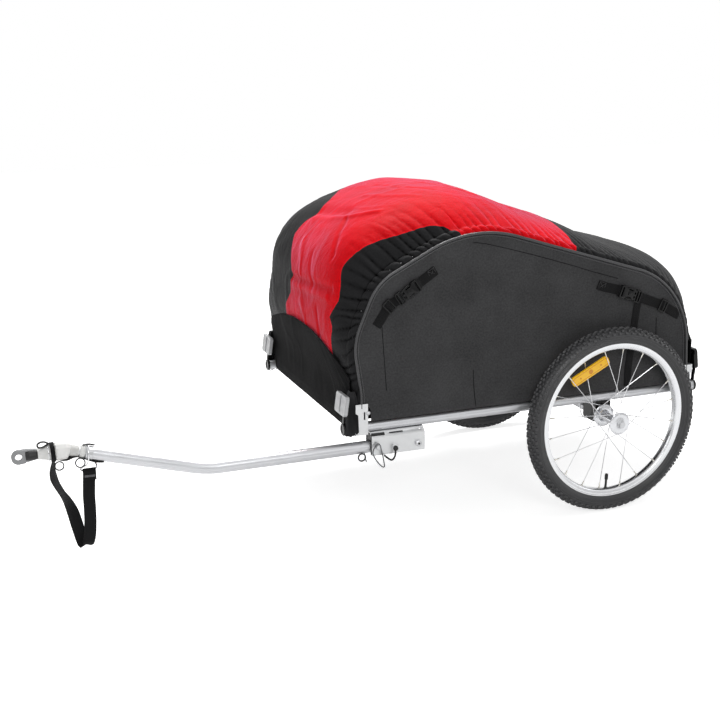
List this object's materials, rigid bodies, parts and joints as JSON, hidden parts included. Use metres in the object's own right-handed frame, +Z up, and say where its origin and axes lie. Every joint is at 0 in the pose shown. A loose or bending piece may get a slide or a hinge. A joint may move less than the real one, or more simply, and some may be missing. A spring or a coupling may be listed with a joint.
{
  "type": "bicycle cargo trailer",
  "caption": "Bicycle cargo trailer: tubular rail frame, folding side hoops under a sewn cover, quick-release spoked wheels and a bent tow arm with a pinned bracket and hitch.",
  "frame": {"origin": "on the ground at the bottom centre of the bounding box; the wheel axis is at x = 0.5883 m", "axes": "-X forward, along the tow arm to the bicycle; -Y the arm's side, which is the left when riding; +Z up"},
  "size_m": [1.8612, 0.842, 0.8646],
  "materials": {
    "frame_tube": "satin silver tube",
    "bracket_metal": "bare pressed sheet",
    "bright_zinc": "bright zinc plated",
    "cast_metal": "cast, matte",
    "polished_rim": "polished",
    "black_moulding": "moulded, satin black",
    "clear_reflector": "clear prismatic",
    "red_reflector": "red prismatic",
    "amber_reflector": "amber prismatic",
    "tyre_rubber": "black, small blocks",
    "soft_rubber": "matte black",
    "red_fabric": "coated woven nylon, red",
    "black_fabric": "coated woven nylon, black",
    "webbing": "ribbed webbing, black"
  },
  "bodies": {
    "frame": {"rail_left": "frame_tube", "rail_right": "frame_tube", "end_cap_front_left": "black_moulding", "end_cap_front_right": "black_moulding", "end_cap_rear_left": "black_moulding", "end_cap_rear_right": "black_moulding", "cross_tube_front": "frame_tube", "cross_tube_rear": "frame_tube", "axle_tube": "frame_tube", "floor_panel": "black_fabric", "receiver_left": "black_moulding", "receiver_right": "black_moulding", "hoop_bracket_front_left": "bracket_metal", "hoop_bracket_front_right": "bracket_metal", "hoop_bracket_rear_left": "bracket_metal", "hoop_bracket_rear_right": "bracket_metal", "hitch_bracket": "bracket_metal", "arm_stop_block": "soft_rubber", "arm_pivot_bolt": "bright_zinc", "reflector_front_left": "clear_reflector", "reflector_front_right": "clear_reflector", "reflector_rear_left": "red_reflector", "reflector_rear_right": "red_reflector", "front_panel": "black_fabric", "rear_panel": "black_fabric", "cover_red": "red_fabric", "cover_rear": "black_fabric", "cover_shoulder_left": "black_fabric", "cover_shoulder_right": "black_fabric"},
    "side_left": {"hoop_left": "frame_tube", "side_panel_left": "black_fabric", "buckle_front_left": "black_moulding", "buckle_rear_left": "black_moulding"},
    "side_right": {"hoop_right": "frame_tube", "side_panel_right": "black_fabric", "buckle_front_right": "black_moulding", "buckle_rear_right": "black_moulding"},
    "arm": {"tow_arm": "frame_tube", "arm_end_plug": "cast_metal", "coupler_block": "cast_metal", "coupler_bell": "cast_metal", "strap_ring": "bright_zinc", "safety_strap": "webbing"},
    "hitch_head": {"flex_core": "soft_rubber", "hitch_lug": "cast_metal"},
    "pin": {"lock_pin": "bright_zinc", "pin_bail": "bright_zinc"},
    "axle_stub_left": {"axle_left": "bright_zinc"},
    "axle_stub_right": {"axle_right": "bright_zinc"},
    "wheel_left": {"tyre_left": "tyre_rubber", "rim_left": "polished_rim", "spider_left": "bright_zinc", "spoke_reflector_left": "amber_reflector", "valve_left": "soft_rubber"},
    "wheel_right": {"tyre_right": "tyre_rubber", "rim_right": "polished_rim", "spider_right": "bright_zinc", "spoke_reflector_right": "amber_reflector", "valve_right": "soft_rubber"}
  },
  "joints": [
    {"name": "side_left_fold", "type": "hinge", "parent": "frame", "child": "side_left", "pos_m": [0.3663, -0.32, 0.341], "axis": [-1, 0, 0], "range_deg": [0, 90], "deforming": ["cover_red", "cover_rear", "cover_shoulder_left", "cover_shoulder_right", "front_panel", "rear_panel"]},
    {"name": "side_right_fold", "type": "hinge", "parent": "frame", "child": "side_right", "pos_m": [0.3663, 0.32, 0.341], "axis": [1, 0, 0], "range_deg": [0, 80], "deforming": ["cover_red", "cover_rear", "cover_shoulder_left", "cover_shoulder_right", "front_panel", "rear_panel"]},
    {"name": "arm_swing", "type": "hinge", "parent": "frame", "child": "arm", "pos_m": [0.0423, -0.321, 0.249], "axis": [0, -1, 0], "range_deg": [0, 165]},
    {"name": "hitch_swivel", "type": "hinge", "parent": "arm", "child": "hitch_head", "pos_m": [-0.8077, -0.321, 0.3384], "axis": [-0.9994, 0, -0.0349], "continuous": true},
    {"name": "pin_pull", "type": "slide", "parent": "frame", "child": "pin", "axis": [0, -1, 0], "range_m": [0, 0.055]},
    {"name": "axle_left_release", "type": "slide", "parent": "frame", "child": "axle_stub_left", "axis": [0, -1, 0], "range_m": [0, 0.06]},
    {"name": "axle_right_release", "type": "slide", "parent": "frame", "child": "axle_stub_right", "axis": [0, 1, 0], "range_m": [0, 0.06]},
    {"name": "wheel_left_spin", "type": "hinge", "parent": "axle_stub_left", "child": "wheel_left", "pos_m": [0.5883, -0.369, 0.2505], "axis": [0, 1, 0], "continuous": true},
    {"name": "wheel_right_spin", "type": "hinge", "parent": "axle_stub_right", "child": "wheel_right", "pos_m": [0.5883, 0.369, 0.2505], "axis": [0, 1, 0], "continuous": true}
  ]
}
